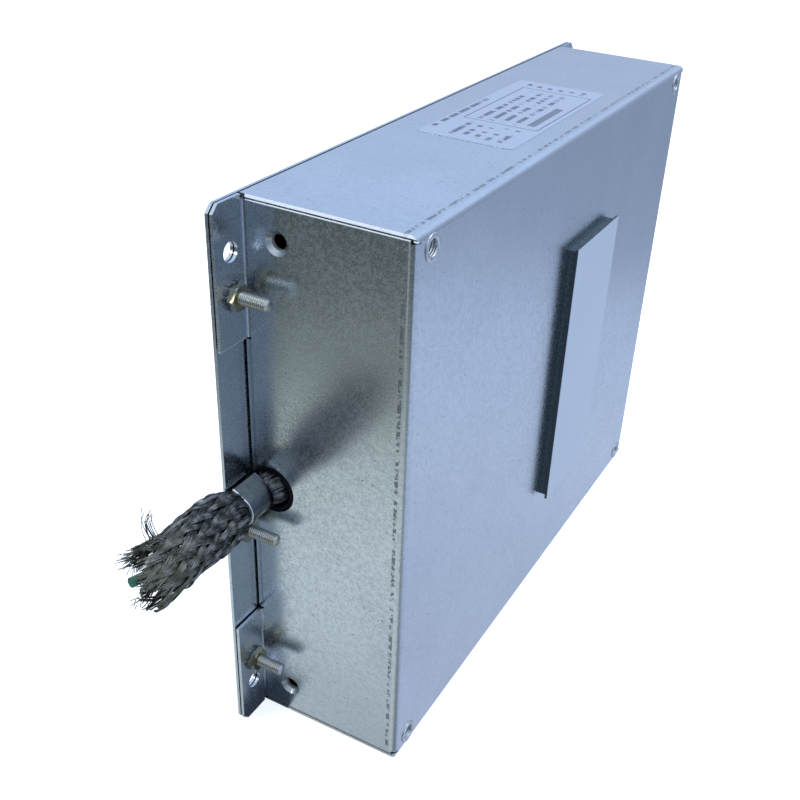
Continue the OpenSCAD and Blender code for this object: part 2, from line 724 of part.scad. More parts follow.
module bleed_resistors() color([0.55, 0.5, 0.42]) for (z = cap_row) translate([board_top + 1 + resistor_r, resistor_y, z]) {
    cylinder(h = resistor_len, r = resistor_r, center = true);
    cylinder(h = 2 * (resistor_leg + leg_r), r = leg_r, center = true);
    for (s = [-1, 1]) translate([-(1 + resistor_r + board_t + leg_under), 0, s * resistor_leg])
        rotate([0, 90, 0]) cylinder(h = 1 + resistor_r + board_t + leg_under, r = leg_r);
}

// ---- choke ----

module choke_core() color([0.2, 0.22, 0.25]) translate([choke_mid_x, choke_y, 0]) rotate([0, 90, 0])
    rotate_extrude($fn = 96) translate([choke_mid_r, 0]) rounded(core_out_r - core_in_r, core_h, 3);

// Base with feet under the core and dividers between the windings
module choke_base() color([0.12, 0.12, 0.13]) translate([board_top, choke_y, 0]) {
    foot_top = choke_mid_x - core_h / 2 - board_top;
    rod_x(0, 0, 0, core_out_r - 1, choke_base_t);
    for (az = divider_az) rotate([az, 0, 0]) {
        block([choke_base_t - fit, core_in_r + 2, -divider_t], [foot_top, core_out_r - 2, divider_t]);
        block([choke_base_t - fit, 0, -divider_t / 2],
              [choke_mid_x - board_top + core_h / 3, core_in_r - 0.5, divider_t / 2]);
    }
}

// Point of a winding after the turn angle a, for the winding centred on az
function turn_at(az, a) = let (
        round = az + (a / (360 * turns) - 0.5) * winding_span,
        r = choke_mid_r + wrap_r * sign(cos(a)) * sqrt(abs(cos(a))),
        x = choke_mid_x + wrap_x * sign(sin(a)) * sqrt(abs(sin(a))))
    [x, choke_y + r * cos(round), r * sin(round)];

// Point on the circle that the leads drop from
function lead_at(round, x, r = lead_r) = [x, choke_y + r * cos(round), r * sin(round)];

module winding(az) color(copper) {
    step = 22.5;
    stop = 360 * turns - 90;
    first = az - winding_span / 2;
    final = az + winding_span / 2 - lead_back;
    low = choke_mid_x - wrap_x;
    run(concat(
        [lead_at(first, lead_end_x), lead_at(first, low)],
        [for (a = [0 : step : stop]) turn_at(az, a)],
        [for (f = [0.3, 0.6, 0.9]) lead_at(final, low, choke_mid_r + wrap_r * f)],
        [lead_at(final, low - wire_r), lead_at(final, lead_end_x)]), wire_r, 6);
}

module winding_u() winding(winding_az[0]);
module winding_v() winding(winding_az[1]);
module winding_w() winding(winding_az[2]);

// ---- terminals ----

module terminal_block() color([0.2, 0.21, 0.22]) difference() {
    block([board_top, block_y0, -block_half], [board_top + block_h, block_y1, block_half]);
    for (z = poles) {
        translate([entry_x, block_y1 - entry_depth / 2 + cut / 2, z])
            cube([entry_w, entry_depth + cut, entry_w], center = true);
        translate([well_x, block_y1 + cut, z]) rotate([90, 0, 0]) cylinder(h = well_depth + cut, r = well_r);
        translate([entry_x, block_y0 + (block_len - entry_depth) / 2, z])
            cube([entry_w, block_len - entry_depth + 2 * cut, entry_w], center = true);
        rod_x(board_top - cut, cage_pin_y, z, cage_pin_r + fit, entry_x - entry_w / 2 - board_top + cut + fit);
    }
    for (z = [-1, 0, 1] * pole_pitch) translate([board_top + block_h, block_y1 - 2, z])
        cube([2, block_len, 1], center = true);
}

module terminal_cages() color([0.7, 0.68, 0.6]) for (z = poles) {
    side = entry_w / 2 - fit;
    translate([entry_x, block_y0 + 1, z]) rotate([-90, 0, 0]) difference() {
        linear_extrude(block_len - entry_depth - 2) square(2 * side, center = true);
        translate([0, 0, cage_t]) linear_extrude(block_len) square(2 * (side - cage_t), center = true);
    }
    rod_x(board_x - leg_under, cage_pin_y, z, cage_pin_r, entry_x - side - board_x + leg_under + fit);
}

module terminal_screws() color(yellow_zinc) for (z = poles)
    translate([well_x, block_y1 - well_depth, z]) rotate([-90, 0, 0]) difference() {
        cylinder(h = 3, r = well_r - 0.3);
        translate([0, 0, 3]) cube([2 * well_r, 1, 2], center = true);
    }

cover();
base_plate();
corner_studs();
corner_nuts();
corner_washers();
earth_studs();
earth_nuts();
earth_washers();
press_nuts();
type_label();
slot_card();
card_pad();
cable_bushing();
shield_clip();
braid_sleeve();
phase_cores();
earth_core();
terminal_block();
terminal_screws();
terminal_cages();
circuit_board();
board_pillars();
board_screws();
insulating_sheet();
choke_core();
choke_base();
winding_u();
winding_v();
winding_w();
line_capacitors();
load_capacitors();
earth_capacitors();
bleed_resistors();
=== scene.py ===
import math
import random
import bmesh
import bpy
import numpy as np
from mathutils import Matrix, Vector


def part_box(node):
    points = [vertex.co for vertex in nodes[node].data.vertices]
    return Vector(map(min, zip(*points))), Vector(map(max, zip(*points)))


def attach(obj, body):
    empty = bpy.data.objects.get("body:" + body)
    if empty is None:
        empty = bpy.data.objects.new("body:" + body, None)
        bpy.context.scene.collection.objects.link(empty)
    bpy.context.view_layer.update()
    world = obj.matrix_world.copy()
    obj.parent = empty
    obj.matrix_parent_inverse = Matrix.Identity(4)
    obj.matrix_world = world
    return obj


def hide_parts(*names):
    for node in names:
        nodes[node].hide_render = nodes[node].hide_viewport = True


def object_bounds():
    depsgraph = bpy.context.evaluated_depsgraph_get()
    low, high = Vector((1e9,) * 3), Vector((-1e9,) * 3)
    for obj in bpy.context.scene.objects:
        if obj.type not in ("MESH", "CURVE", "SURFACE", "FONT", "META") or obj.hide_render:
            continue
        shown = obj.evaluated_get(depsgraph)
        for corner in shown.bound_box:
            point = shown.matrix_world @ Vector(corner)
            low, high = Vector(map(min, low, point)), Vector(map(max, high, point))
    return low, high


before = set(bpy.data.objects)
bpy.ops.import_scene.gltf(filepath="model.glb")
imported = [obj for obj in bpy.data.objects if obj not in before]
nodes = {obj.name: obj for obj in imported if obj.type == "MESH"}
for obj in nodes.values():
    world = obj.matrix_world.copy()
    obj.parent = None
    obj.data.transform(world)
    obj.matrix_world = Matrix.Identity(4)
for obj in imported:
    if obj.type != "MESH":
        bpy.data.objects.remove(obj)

mm = 0.001
cadBox = [list(corner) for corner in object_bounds()]


def low(node):  # corners of a node's box, in millimetres
    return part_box(node)[0] / mm


def high(node):
    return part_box(node)[1] / mm


wallY = low("cable_bushing").y  # outer face of the end wall by the cable

# camera and lamps, in metres
cameraView = {"place": (0.167465, -0.32137, 0.18834), "ahead": (-0.38242586, 0.76040974, -0.52490712),
              "right": (0.87881745, 0.47478503, 0.04752964), "lens": 47.3576, "sensor": 36,
              "shift": (-0.03833, 0.02545), "clip": (0.01, 50)}
lamps = {
    "overhead": {"place": (0.5, 0.3, 1.3), "aim": (0.0, 0.0, 0.0), "size": 1.1, "power": 6.0,
                 "colour": (0.93, 0.97, 1.0)},
    "window": {"place": (-0.62, -0.86, 0.42), "aim": (0.0, -0.11, 0.0), "size": 0.22, "power": 1.2,
               "colour": (1.0, 0.99, 0.93)},
}


def addCamera(look):
    ahead, right = Vector(look["ahead"]).normalized(), Vector(look["right"]).normalized()
    up = right.cross(ahead)
    turn = Matrix((right, up, -ahead)).transposed()
    data = bpy.data.cameras.new("camera")
    data.lens, data.sensor_width = look["lens"], look["sensor"]
    data.shift_x, data.shift_y = look["shift"]
    data.clip_start, data.clip_end = look["clip"]
    camera = bpy.data.objects.new("camera", data)
    camera.matrix_world = Matrix.Translation(look["place"]) @ turn.to_4x4()
    bpy.context.collection.objects.link(camera)
    bpy.context.scene.camera = camera


def addLamp(name, look):
    data = bpy.data.lights.new(name, "AREA")
    data.shape, data.size, data.energy, data.color = "DISK", look["size"], look["power"], look["colour"]
    lamp = bpy.data.objects.new(name, data)
    lamp.location = look["place"]
    lamp.rotation_euler = (Vector(look["aim"]) - Vector(look["place"])).to_track_quat("-Z", "Y").to_euler()
    bpy.context.collection.objects.link(lamp)


addCamera(cameraView)
for lampName, lampLook in lamps.items():
    addLamp(lampName, lampLook)
bpy.context.scene.view_settings.view_transform = "Standard"
print("camera and lamps placed")


class Link:  # one output of a shader node, with arithmetic
    def __init__(self, finish, socket):
        self.finish, self.socket = finish, socket

    def maths(self, operation, first, second=None, clamp=False):
        values = {0: first} if second is None else {0: first, 1: second}
        return self.finish.add("Math", {"operation": operation, "use_clamp": clamp}, values)

    def __add__(self, other):
        return self.maths("ADD", self, other)

    def __radd__(self, other):
        return self.maths("ADD", other, self)

    def __sub__(self, other):
        return self.maths("SUBTRACT", self, other)

    def __rsub__(self, other):
        return self.maths("SUBTRACT", other, self)

    def __mul__(self, other):
        return self.maths("MULTIPLY", self, other)

    def __rmul__(self, other):
        return self.maths("MULTIPLY", other, self)

    def __truediv__(self, other):
        return self.maths("DIVIDE", self, other)

    def __rtruediv__(self, other):
        return self.maths("DIVIDE", other, self)

    def __pow__(self, other):
        return self.maths("POWER", self, other)

    def __mod__(self, other):
        return self.maths("FLOORED_MODULO", self, other)

    def __abs__(self):
        return self.maths("ABSOLUTE", self)

    def clip(self):
        return self.maths("ADD", self, 0, clamp=True)

    def atLeast(self, other):
        return self.maths("MAXIMUM", self, other)


class Finish:  # one material, or the world, while it is written
    def __init__(self, name, constants=None, world=False):
        self.material = bpy.data.worlds.new(name) if world else bpy.data.materials.new(name)
        self.material.use_nodes = True
        self.tree = self.material.node_tree
        self.tree.nodes.clear()
        self.shader = self.tree.nodes.new("ShaderNodeBackground" if world else "ShaderNodeBsdfPrincipled")
        output = self.tree.nodes.new("ShaderNodeOutputWorld" if world else "ShaderNodeOutputMaterial")
        self.tree.links.new(self.shader.outputs[0], output.inputs["Surface"])
        for key, value in (constants or {}).items():
            self.feed(key, value)

    def put(self, value, socket):
        if isinstance(value, Link):
            self.tree.links.new(value.socket, socket)
        elif socket.type == "RGBA" and len(value) == 3:
            socket.default_value = (*value, 1)
        else:
            socket.default_value = value

    def feed(self, key, value):
        self.put(value, self.shader.inputs[key])

    def add(self, kind, settings=None, sockets=None, out=0):
        node = self.tree.nodes.new("ShaderNode" + kind)
        for key, value in (settings or {}).items():
            if key == "stops":
                ramp = node.color_ramp
                while len(ramp.elements) < len(value):
                    ramp.elements.new(1)
                for stop, (place, colour) in zip(ramp.elements, value):
                    stop.position, stop.color = place, (*colour, 1)
            else:
                setattr(node, key, value)
        for key, value in (sockets or {}).items():
            self.put(value, node.inputs[key])
        return Link(self, node.outputs[out])

    def split(self, vector):
        parts = self.add("SeparateXYZ", {}, {0: vector})
        return [Link(self, socket) for socket in parts.socket.node.outputs]

    def place(self):  # millimetres in the part's own frame
        spot = self.add("TexCoord", out=3)
        self.spot = self.add("VectorMath", {"operation": "MULTIPLY"}, {0: spot, 1: (1000, 1000, 1000)})
        return self.split(self.spot)

    def grain(self, size, detail=2.0, rough=0.5, stretch=(1, 1, 1), shift=(0, 0, 0)):  # size in millimetres
        vector = self.add("VectorMath", {"operation": "MULTIPLY_ADD"},
                          {0: self.spot, 1: tuple(s / size for s in stretch), 2: shift})
        return self.add("TexNoise", {},
                        {"Vector": vector, "Scale": 1.0, "Detail": detail, "Roughness": rough})

    def rise(self, value, start, end):  # smooth step from 0 at start to 1 at end
        return self.add("MapRange", {"interpolation_type": "SMOOTHSTEP"},
                        {"Value": value, "From Min": start, "From Max": end})

    def band(self, value, start, end, soft):
        return self.rise(value, start - soft, start) * (1 - self.rise(value, end, end + soft))

    def ramp(self, value, stops):
        return self.add("ValToRGB", {"stops": stops}, {"Fac": value})

    def blend(self, first, second, share):  # colours
        return self.add("Mix", {"data_type": "RGBA"}, {0: share, 6: first, 7: second}, out=2)

    def bump(self, height, distance):  # distance in millimetres
        self.feed("Normal", self.add("Bump", {},
                                     {"Height": height, "Distance": distance * mm, "Strength": 1.0}))


# the room: what the sheets mirror, by height of the way seen (-1 down, 1 up) and colour
worldLook = {
    "bright": [(-1.0, (0.48, 0.54, 0.70)), (-0.73, (0.52, 0.58, 0.76)), (-0.61, (0.51, 0.60, 0.77)),
               (-0.55, (0.58, 0.68, 0.88)), (-0.42, (0.545, 0.65, 0.87)), (-0.37, (0.335, 0.41, 0.56)),
               (-0.24, (0.29, 0.36, 0.49)), (0.0, (0.38, 0.45, 0.60)), (0.22, (0.44, 0.50, 0.64)),
               (0.34, (0.62, 0.78, 1.08)), (1.0, (0.62, 0.76, 1.0))],
    "shaded": [(-1.0, (0.42, 0.46, 0.48)), (-0.76, (0.40, 0.44, 0.45)), (-0.68, (0.76, 0.86, 0.92)),
               (-0.62, (0.78, 0.86, 0.89)), (-0.56, (0.78, 0.85, 0.77)), (-0.50, (0.22, 0.25, 0.23)),
               (-0.44, (0.076, 0.096, 0.086)), (-0.34, (0.052, 0.066, 0.058)), (0.0, (0.09, 0.11, 0.12)),
               (0.42, (0.12, 0.145, 0.17)), (0.60, (0.80, 0.90, 1.04)), (1.0, (0.95, 1.05, 1.2))],
    "corner": [(-1.0, (0.14, 0.16, 0.17)), (-0.76, (0.16, 0.18, 0.20)), (-0.68, (0.34, 0.39, 0.43)),
               (-0.56, (0.42, 0.48, 0.52)), (-0.50, (0.22, 0.27, 0.31)), (-0.44, (0.07, 0.093, 0.115)),
               (-0.34, (0.055, 0.072, 0.09)), (0.0, (0.11, 0.13, 0.15)), (0.15, (0.36, 0.41, 0.48)),
               (0.42, (0.50, 0.57, 0.67)), (0.60, (0.80, 0.90, 1.04)), (1.0, (0.95, 1.05, 1.2))],
    "seam": (-0.22, 0.22), "cornerSeam": (0.05, 0.3), "sideSeam": (0.60, 0.74), "strength": 1.0}
floorLook = {"reach": 6.0, "sides": 96, "rings": 12, "drop": 0.00005, "colour": (0.95, 0.95, 0.95),
             "lift": 0.62, "fibre": 400, "fibreShade": 0.97}
# the dark sheet under the case: painted shadow, seen only in reflections
shadeLook = {"colour": (0.10, 0.12, 0.14), "inset": 1.0, "strip": 9.0, "overhang": 2.0, "drop": 0.00003,
             "cloud": 60, "cloudShade": 0.8}


def addWorld(look):
    world = Finish("studio", world=True)
    forward, across, height = world.split(world.add("TexCoord", out=0))
    level = height * 0.5 + 0.5
    bright, shaded, corner = [world.ramp(level, [(0.5 + 0.5 * at, colour) for at, colour in look[key]])
                              for key in ("bright", "shaded", "corner")]
    shaded = world.blend(shaded, corner, world.rise(forward, *look["cornerSeam"]))
    lit = world.rise(across, *look["seam"]).atLeast(world.rise(abs(forward), *look["sideSeam"]))
    world.feed("Color", world.blend(shaded, bright, lit))
    world.shader.inputs["Strength"].default_value = look["strength"]
    bpy.context.scene.world = world.material


def addBackdrop(name, points, faces, finish):  # points in metres
    mesh = bpy.data.meshes.new(name)
    mesh.from_pydata(points, [], faces)
    mesh.materials.append(finish.material)
    piece = bpy.data.objects.new(name, mesh)
    bpy.context.collection.objects.link(piece)
    return piece


def addFloor(look):  # a pale disc and dome, seen by the camera alone
    count, rings, reach = look["sides"], look["rings"], look["reach"]
    points = []
    for ring in range(rings):
        lift = 0.5 * math.pi * ring / rings
        for side in range(count):
            turn = 2 * math.pi * side / count
            points.append((reach * math.cos(lift) * math.cos(turn), reach * math.cos(lift) * math.sin(turn),
                           reach * math.sin(lift) + cadBox[0][2] - look["drop"]))
    dome = [(ring * count + side, (ring + 1) * count + side, (ring + 1) * count + (side + 1) % count,
             ring * count + (side + 1) % count) for ring in range(rings - 1) for side in range(count)]
    faces = [list(range(count)), *dome, list(range((rings - 1) * count, rings * count))]
    paper = Finish("paper", {"Roughness": 0.9, "Specular IOR Level": 0.0, "Emission Color": look["colour"],
                             "Emission Strength": look["lift"]})
    paper.place()
    darker = tuple(look["fibreShade"] * c for c in look["colour"])
    paper.feed("Base Color", paper.blend(look["colour"], darker, paper.grain(look["fibre"], 1)))
    floor = addBackdrop("floor", points, faces, paper)
    floor.visible_diffuse = floor.visible_glossy = floor.visible_shadow = False


def addContactShade(look):  # a dark sheet seen only in the sheets' reflections: painted shadow standing for the dim floor under the case and the ears
    wall, reach, strip = high("cable_bushing").y, high("cover").y + look["overhang"], look["strip"]
    front = high("cover").x - look["inset"]
    corners = [(0, -reach), (strip, -reach), (strip, -wall), (front, -wall),
               (front, wall), (strip, wall), (strip, reach), (0, reach)]
    paintedFloorShadow = Finish("paintedFloorShadow", {"Roughness": 1.0, "Specular IOR Level": 0.0})
    paintedFloorShadow.place()
    darker = tuple(look["cloudShade"] * c for c in look["colour"])
    paintedFloorShadow.feed("Base Color", paintedFloorShadow.blend(look["colour"], darker, paintedFloorShadow.grain(look["cloud"], 1)))
    points = [(x * mm, y * mm, cadBox[0][2] - look["drop"]) for x, y in corners]
    shade = addBackdrop("contactShade", points, [list(range(len(corners)))], paintedFloorShadow)
    shade.visible_camera = shade.visible_diffuse = shade.visible_shadow = False


addWorld(worldLook)
addFloor(floorLook)
addContactShade(shadeLook)
print("room ready")

# finishes; sizes and places in millimetres
sheetLook = {"bright": (0.65, 0.71, 0.78), "dull": (0.585, 0.645, 0.715), "speck": (0.15, 0.16, 0.17),
             # the near-white edge colour paints the edge lines below: partly cut metal, partly painted
             # highlight
             "cutEdgeAndHighlight": (0.95, 0.98, 1.0), "creaseShade": (0.16, 0.19, 0.22), "bore": (0.42, 0.43, 0.42),
             "cone": (0.46, 0.50, 0.52), "rough": 0.215, "roughSpread": 0.10, "bump": 0.03,
             "cloud": 24, "mottle": 1.6, "fine": 0.6, "rolled": 0.8, "speckSize": 0.8,
             # scuffs along the front bends
             "dash": {"size": 1.5, "fromFront": 3.5, "width": 0.5, "soft": 0.15},
             "plunge": {"x": 13.0, "fromSide": 11.7, "bore": 2.36, "boreSoft": 0.12, "cone": (3.5, 3.75),
                        "depth": (4.0, 3.5)},
             "aboveFoot": (0.6, 1.0),  # the bands below start here, over the ears' bend
             # painted highlight: a light line along the ears' cut edge
             "earEdgeHighlight": {"fromSide": 42.0, "width": 0.35, "fromWall": (0.6, 0.9), "foot": (-0.9, 0.1)},
             "lip": {"fromSide": (1.0, 0.9), "fromWall": (0.07, 0.01), "fall": 30},  # cut edges of the walls, painted bright: partly rough cut metal, partly painted highlight
             "rim": {"fromSide": (1.75, 1.4), "fromWall": (1.0, 0.6), "fall": 25},  # painted highlight on the rounded bend by them
             # painted highlight: a light line on the end walls along the front bend
             "bendLine": {"fromFront": (2.35, 1.95), "fromWall": (0.4, 0.1)},
             # painted shade along the fold between the ears and the end wall
             "creaseBand": {"width": 0.75, "foot": (0.02, 0.8)}}


def zincSheet(name, look):
    f = Finish(name, {"Metallic": 1.0})
    x, y, z = f.place()
    front, side, wall = high("cover").x, -low("base_plate").z, -wallY
    foot = low("earth_washers").x + 1
    outward, along = abs(z), abs(y)

    cloud = f.grain(look["cloud"], 3)
    mottle = f.grain(look["mottle"], 3, 0.62)
    fine = f.grain(look["fine"], 3, 0.62)
    rolled = f.grain(look["rolled"], 2, stretch=(0.12, 1, 1))
    specks = f.rise(f.grain(look["speckSize"], 2, 0.6, shift=(31, 7, 3)), 0.69, 0.73)
    dull = f.rise(0.4 * mottle + 0.3 * cloud + 0.15 * fine + 0.15 * rolled, 0.38, 0.62)
    coarse = f.rise(0.6 * fine + 0.4 * mottle, 0.42, 0.60)

    dash = look["dash"]
    middle = front - dash["fromFront"]
    dashes = f.rise(f.grain(dash["size"], 3, 0.7, stretch=(0.6, 1, 1), shift=(5, 0, 9)), 0.47, 0.53)
    scuffs = f.band(x, middle - dash["width"], middle + dash["width"], dash["soft"]) * dashes
    worn = (specks + 0.9 * scuffs).clip()

    def past(value, origin, steps):
        return f.rise(value, origin - steps[0], origin - steps[1])

    above = f.rise(x, foot + look["aboveFoot"][0], foot + look["aboveFoot"][1])
    cut, lip, rim, bend, fold = (look[key] for key in ("earEdgeHighlight", "lip", "rim", "bendLine", "creaseBand"))
    earEnd = side - cut["fromSide"]
    # painted highlights: light lines along the ears' edge, the walls' cut edges, their rounded bends and the
    # front bend
    earEdgeHighlight = (f.band(outward, earEnd, earEnd + cut["width"], 0.1)
            * f.rise(along, wall + cut["fromWall"][0], wall + cut["fromWall"][1])
            * f.band(x, foot + cut["foot"][0], foot + cut["foot"][1], 0.05))
    lips = past(outward, side, lip["fromSide"]) * past(along, wall, lip["fromWall"]) * above
    rims = (f.band(outward, side - rim["fromSide"][0], side - rim["fromSide"][1], 0.08)
            * past(along, wall, rim["fromWall"]) * above)
    bendLine = (f.band(x, front - bend["fromFront"][0], front - bend["fromFront"][1], 0.12)
                * past(along, wall, bend["fromWall"]))
    bright = ((0.6 * earEdgeHighlight + lips + 0.7 * rims).clip() + 0.55 * bendLine).clip()
    # painted shade: darker along the fold between the ears and the end wall
    creaseShade = (f.band(along, wall, wall + fold["width"], 0.12)
              * f.band(x, foot + fold["foot"][0], foot + fold["foot"][1], 0.1))
    edgeFall = (lip["fall"] * lips * (outward - side + lip["fromSide"][0])
                + rim["fall"] * rims * (outward - side + rim["fromSide"][0]))

    hole = look["plunge"]
    offX, offZ = x - hole["x"], outward - (side - hole["fromSide"])
    reach = (offX * offX + offZ * offZ) ** 0.5
    bore = ((1 - f.rise(reach, hole["bore"], hole["bore"] + hole["boreSoft"]))
            * past(along, wall, hole["depth"]))
    cone = 1 - f.rise(reach, *hole["cone"])

    colour = f.blend(look["bright"], look["dull"], dull)
    colour = f.blend(colour, look["speck"], 0.75 * worn)
    # the edge lines painted near white: partly cut metal, partly painted highlight
    colour = f.blend(colour, look["cutEdgeAndHighlight"], bright)
    # painted shade in the fold between the ears and the end wall
    colour = f.blend(colour, look["creaseShade"], 0.35 * creaseShade)
    colour = f.blend(colour, look["bore"], bore)
    colour = f.blend(colour, look["cone"], cone * (1 - bore))
    f.feed("Metallic", 1 - 0.8 * bore)
    f.feed("Base Color", colour)
    rough = look["rough"] + look["roughSpread"] * coarse + 0.2 * worn + 0.2 * bright + 0.02 * cone
    f.feed("Roughness", rough.clip())
    f.bump(0.12 * mottle + 0.46 * fine + 0.12 * rolled - 0.5 * scuffs - 0.4 * specks - edgeFall, look["bump"])
    return f


chromateLook = {"gold": (0.47, 0.41, 0.25), "green": (0.31, 0.34, 0.28), "tint": 2.2, "rough": 0.14,
                "grain": 0.25}
studChromate = {**chromateLook, "gold": (0.63, 0.62, 0.48), "green": (0.64, 0.68, 0.70), "rough": 0.22,
                # the last colour is painted shade, laid into the thread grooves
                "groove": (0.30, 0.30, 0.26)}


def chromate(name, look):
    f = Finish(name, {"Metallic": 1.0})
    f.place()
    colour = f.blend(look["gold"], look["green"], f.rise(f.grain(look["tint"], 2), 0.35, 0.65))
    # painted shade: the threads darker by the groove depth stored on the stud mesh
    if "groove" in look:
        colour = f.blend(colour, look["groove"], f.add("Attribute", {"attribute_name": "groove"}, out=2))
    f.feed("Base Color", colour)
    f.feed("Roughness", look["rough"] + 0.15 * f.grain(2 * look["grain"], 2))
    f.bump(f.grain(look["grain"], 2), 0.01)
    return f


brightZincLook = {"bright": (0.72, 0.75, 0.78), "dull": (0.48, 0.50, 0.52), "rough": 0.22, "tone": 1.3,
                  "grain": 0.3}
washerLook = {**brightZincLook, "bright": (0.22, 0.24, 0.26), "dull": (0.16, 0.18, 0.19), "rough": 0.35}
cageLook = {**brightZincLook, "bright": (0.70, 0.64, 0.50)}


def brightZinc(name, look):
    f = Finish(name, {"Metallic": 1.0})
    f.place()
    tone = f.grain(look["tone"], 3)
    f.feed("Base Color", f.blend(look["bright"], look["dull"], f.rise(tone, 0.4, 0.7)))
    f.feed("Roughness", look["rough"] + 0.2 * tone)
    f.bump(f.grain(look["grain"], 2), 0.008)
    return f


def softPlastic(name, colour, shade, rough, size=1.2, depth=0.02, metal=0.0, gloss=0.5):
    f = Finish(name, {"Metallic": metal, "Specular IOR Level": gloss})
    f.place()
    tone = f.grain(size, 3)
    f.feed("Base Color", f.blend(colour, shade, f.rise(tone, 0.35, 0.7)))
    f.feed("Roughness", rough + 0.12 * f.grain(3 * size, 2))
    f.bump(tone, depth)
    return f


labelLook = {"foil": (0.57, 0.63, 0.73), "print": (0.13, 0.15, 0.20), "metal": 0.65, "rough": 0.34,
             "rowPitch": 0.125, "rowStart": 0.03, "rowHeight": 0.045, "wordSize": 1.7, "line": 0.5,
             # shares of the label: from and to along it, then across it
             "box": (0.28, 0.88, 0.155, 0.95), "title": (0.33, 0.64, 0.79, 0.87),
             "columns": [(0.05, 0.24, 0.26, 0.88), (0.31, 0.83, 0.26, 0.76), (0.91, 0.96, 0.14, 0.88),
                         (0.1, 0.6, 0.02, 0.12)]}


def labelPrint(name, look):
    f = Finish(name, {"Metallic": look["metal"]})
    x, y, _ = f.place()
    near, far = low("type_label"), high("type_label")
    length, height = far.y - near.y, far.x - near.x
    across, along = (x - near.x) / height, (y - near.y) / length

    def patch(start, end, under, over):
        return f.band(along, start, end, 0.002) * f.band(across, under, over, 0.004)

    start, end, under, over = look["box"]
    lineY, lineX = look["line"] / length, look["line"] / height
    boxLine = patch(*look["box"]) - patch(start + lineY, end - lineY, under + lineX, over - lineX)
    rows = f.band(across % look["rowPitch"], look["rowStart"], look["rowStart"] + look["rowHeight"], 0.008)
    words = f.rise(f.grain(look["wordSize"], 0, stretch=(0.15, 1, 0.01)), 0.45, 0.49)
    columns = patch(*look["columns"][0])
    for column in look["columns"][1:]:
        columns = columns + patch(*column)
    ink = (boxLine + rows * words * columns + 0.9 * patch(*look["title"])).clip()
    f.feed("Base Color", f.blend(look["foil"], look["print"], 0.8 * ink))
    f.feed("Roughness", look["rough"] + 0.12 * f.grain(1.0, 3) + 0.2 * ink)
    f.bump(f.grain(0.6, 2), 0.008)
    return f


cardLook = {"face": (0.65, 0.745, 0.84), "tint": (0.60, 0.695, 0.79), "edge": (0.05, 0.062, 0.08),
            "cloud": 35, "skin": (0.12, 0.04), "rough": 0.30}


def cardFace(name, look):  # pale face, dark cut edges
    f = Finish(name, {"Metallic": 0.0, "Coat Roughness": 0.15})
    x, _, _ = f.place()
    top = high("slot_card").x
    rim = 1 - f.rise(x, top - look["skin"][0], top - look["skin"][1])
    face = f.blend(look["face"], look["tint"], f.grain(look["cloud"], 2))
    f.feed("Base Color", f.blend(face, look["edge"], rim))
    f.feed("Roughness", look["rough"] + 0.1 * f.grain(2, 2))
    f.bump(f.grain(1.4, 2), 0.01)
    return f


sheetMetal = zincSheet("zincSheet", sheetLook)
finishes = {
    "cover": sheetMetal,
    "base_plate": sheetMetal,
    "corner_nuts": chromate("yellowZinc", chromateLook),
    "corner_washers": brightZinc("washerZinc", washerLook),
    "type_label": labelPrint("labelPrint", labelLook),
    "slot_card": cardFace("cardFace", cardLook),
    "card_pad": softPlastic("padFoam", (0.08, 0.125, 0.15), (0.046, 0.065, 0.085), 0.8, size=0.8, depth=0.15),
    "cable_bushing": softPlastic("blackRubber", (0.004, 0.005, 0.008), (0.007, 0.008, 0.012), 0.6,
                                 gloss=0.12),
    "phase_cores": softPlastic("blackCore", (0.02, 0.02, 0.022), (0.03, 0.03, 0.03), 0.45),
    "earth_core": softPlastic("greenCore", (0.02, 0.22, 0.13), (0.01, 0.12, 0.08), 0.4),
    "terminal_block": softPlastic("blockPlastic", (0.035, 0.038, 0.042), (0.05, 0.052, 0.055), 0.5),
    "terminal_screws": brightZinc("screwZinc", brightZincLook),
    "terminal_cages": brightZinc("cageMetal", cageLook),
    "circuit_board": softPlastic("boardLaminate", (0.03, 0.12, 0.05), (0.02, 0.08, 0.04), 0.35),
    "insulating_sheet": softPlastic("clearFilm", (0.62, 0.62, 0.55), (0.5, 0.5, 0.45), 0.4),
    "choke_core": softPlastic("coreCoating", (0.03, 0.04, 0.06), (0.05, 0.06, 0.08), 0.45),
    "winding_u": softPlastic("copperWire", (0.50, 0.19, 0.07), (0.38, 0.12, 0.04), 0.25, metal=0.9),
    "line_capacitors": softPlastic("capacitorCase", (0.42, 0.42, 0.38), (0.36, 0.36, 0.33), 0.5),
    "earth_capacitors": softPlastic("blueCoating", (0.03, 0.09, 0.32), (0.02, 0.06, 0.22), 0.3),
    "bleed_resistors": softPlastic("resistorCoating", (0.30, 0.24, 0.15), (0.2, 0.15, 0.1), 0.4),
}
sameFinish = {
    "corner_nuts": ("earth_nuts",),
    "corner_washers": ("earth_washers",),
    "terminal_screws": ("board_pillars", "board_screws"),
    "terminal_block": ("choke_base",),
    "winding_u": ("winding_v", "winding_w"),
    "line_capacitors": ("load_capacitors",),
}
for nodeName, finish in finishes.items():
    for twin in (nodeName, *sameFinish.get(nodeName, ())):
        nodes[twin].data.materials.clear()
        nodes[twin].data.materials.append(finish.material)
print("finishes on", len(nodes), "nodes")


def addPiece(name, points, faces, finish, replaced=(), grooves=None):  # points in millimetres
    mesh = bpy.data.meshes.new(name)
    mesh.from_pydata((np.asarray(points, float) * mm).tolist(), [], faces)
    if grooves:
        mesh.attributes.new("groove", "FLOAT", "POINT").data.foreach_set("value", grooves)
    mesh.validate()
    mesh.update()
    mesh.shade_smooth()
    mesh.materials.append(finish.material)
    piece = bpy.data.objects.new(name, mesh)
    bpy.context.collection.objects.link(piece)
    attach(piece, "root")
    if replaced:
        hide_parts(*replaced)
    return piece


